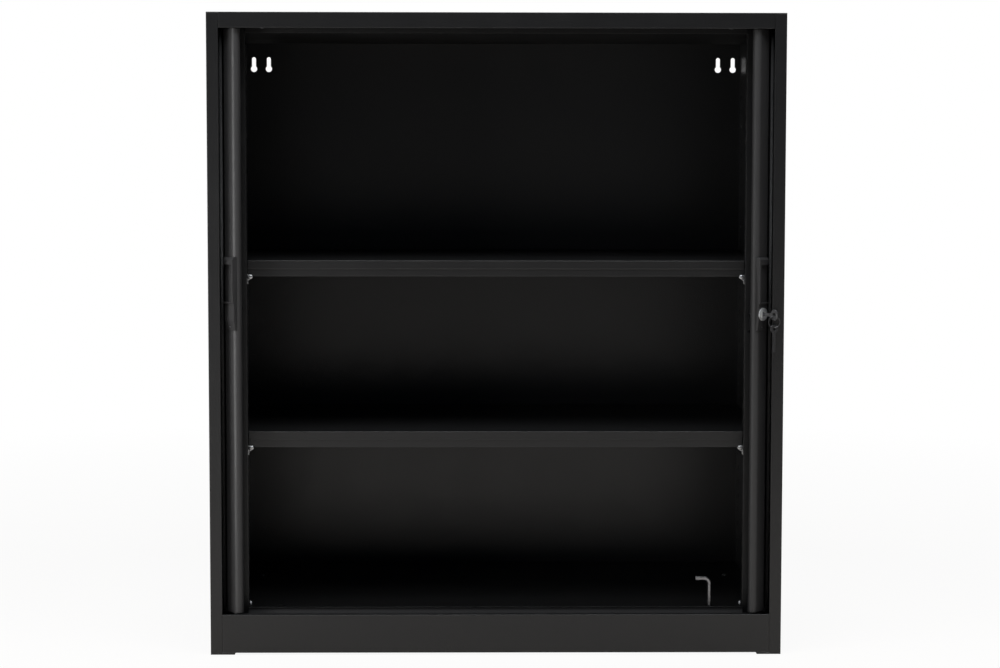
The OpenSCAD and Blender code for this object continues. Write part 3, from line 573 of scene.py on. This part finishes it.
def bezel():
    """The lock's turned bezel: a shallow chrome dome round the plug."""
    made = bmesh.new()
    rings = [[made.verts.new(beside(stile_line, radius * c, rise, LOCK_Z + radius * s, "right"))
              for c, s in circle(BEZEL_STEPS)] for radius, rise in BEZEL]
    bridge(made, rings)
    thing = piece("lock_bezel", made, SATIN_CHROME)
    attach(thing, "right_door_stile")


def clip_noses():
    """The domed noses that show just under the shelves' front corners."""
    made = bmesh.new()
    for side in SIDES:
        for seat in SHELF_SEATS:
            rings = []
            for share, rise in NOSE_RINGS:
                wide, high = NOSE_HALF[0] * share, NOSE_HALF[1] * share
                rings.append([made.verts.new(to_row(NOSE_U + wide * c, NOSE_V - rise,
                                                    seat - NOSE_DROP + high * s, side))
                              for c, s in circle(NOSE_STEPS)])
            bridge(made, rings)
            made.faces.new(rings[0])
            made.faces.new(rings[-1])
    thing = piece("clip_noses", made, PLATE)
    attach(thing, "cabinet")


for side in SIDES:
    curtain(side)
bezel()
clip_noses()


def stage_material():
    """Pale floor that keeps shadows; it shows nearer to white to the camera."""
    material, tree, shader = new_material("stage_pale")
    shader.inputs["Base Color"].default_value = (*FLOOR_COLOUR, 1)
    shader.inputs["Roughness"].default_value = 0.8
    glow = add(tree, "ShaderNodeEmission", Strength=1.0, Color=(1, 1, 1, 1))
    path = add(tree, "ShaderNodeLightPath")
    place = add(tree, "ShaderNodeTexCoord")
    reach = add(tree, "ShaderNodeVectorMath", operation="LENGTH")
    tree.links.new(place.outputs["Object"], reach.inputs[0])
    fade = ramp(tree, reach.outputs["Value"], STAGE_FADE, (STAGE_SHOWN, 1.0))
    share = maths(tree, "MULTIPLY", path.outputs["Is Camera Ray"], fade)
    mix = add(tree, "ShaderNodeMixShader")
    tree.links.new(share, mix.inputs["Fac"])
    tree.links.new(shader.outputs["BSDF"], mix.inputs[1])
    tree.links.new(glow.outputs["Emission"], mix.inputs[2])
    tree.links.new(mix.outputs["Shader"], tree.nodes["Material Output"].inputs["Surface"])
    return material


def make_stage():
    """A round floor, its faces up."""
    made = bmesh.new()
    rings = []
    for r in range(1, FLOOR_RINGS + 1):
        radius = FLOOR_RADIUS * r / FLOOR_RINGS
        rings.append([made.verts.new((radius * c, radius * s, FLOOR_Z))
                      for c, s in circle(FLOOR_STEPS)])
    made.faces.new(rings[0])
    bridge(made, rings[::-1])
    floor = mesh_object("floor", made)
    floor.data.materials.append(stage_material())


def lamp(name, place, target, size, power, colour, spread):
    data = bpy.data.lights.new(name, "AREA")
    data.shape = "RECTANGLE"
    data.size, data.size_y = size
    data.energy = power
    data.color = colour
    data.spread = math.radians(spread)
    thing = new_object(name, data)
    thing.location = place
    thing.rotation_euler = (Vector(target) - Vector(place)).to_track_quat("-Z", "Y").to_euler()


def make_world():
    """White to the camera; to light and reflections pale behind the cabinet, dim before it."""
    world = bpy.data.worlds.new("studio")
    bpy.context.scene.world = world
    world.use_nodes = True
    tree = world.node_tree
    back = tree.nodes["Background"]
    place = add(tree, "ShaderNodeTexCoord")
    split = add(tree, "ShaderNodeSeparateXYZ")
    tree.links.new(place.outputs["Generated"], split.inputs["Vector"])
    level = ramp(tree, split.outputs["Y"], WORLD_TURN, (WORLD_DIM, WORLD_PALE))
    path = add(tree, "ShaderNodeLightPath")
    seen = maths(tree, "MAXIMUM", level, path.outputs["Is Camera Ray"])
    tree.links.new(seen, back.inputs["Strength"])
    colour = mixed(tree, ramp(tree, seen, WORLD_TINT_LEAVES, (0.0, 1.0)), WORLD_TINT, (1, 1, 1))
    tree.links.new(colour, back.inputs["Color"])


def make_camera():
    """The photograph's viewpoint: a long lens four metres off, a little left of the middle."""
    data = bpy.data.cameras.new("camera")
    data.sensor_width = CAMERA_SENSOR
    data.lens = CAMERA_LENS
    data.clip_end = CAMERA_REACH
    level = Vector((math.sin(CAMERA_YAW), math.cos(CAMERA_YAW), 0))
    forward = level * math.cos(CAMERA_PITCH) - Vector((0, 0, math.sin(CAMERA_PITCH)))
    right = Vector((math.cos(CAMERA_YAW), -math.sin(CAMERA_YAW), 0))
    up = right.cross(forward)
    rolled_right = right * math.cos(CAMERA_ROLL) + up * math.sin(CAMERA_ROLL)
    rolled_up = up * math.cos(CAMERA_ROLL) - right * math.sin(CAMERA_ROLL)
    basis = Matrix((rolled_right, rolled_up, -forward)).transposed()
    thing = new_object("camera", data)
    thing.matrix_world = Matrix.Translation(CAMERA_PLACE) @ basis.to_4x4()
    bpy.context.scene.camera = thing


make_stage()
for values in LAMPS:
    lamp(*values)
make_world()
make_camera()
bpy.context.scene.view_settings.view_transform = "Standard"
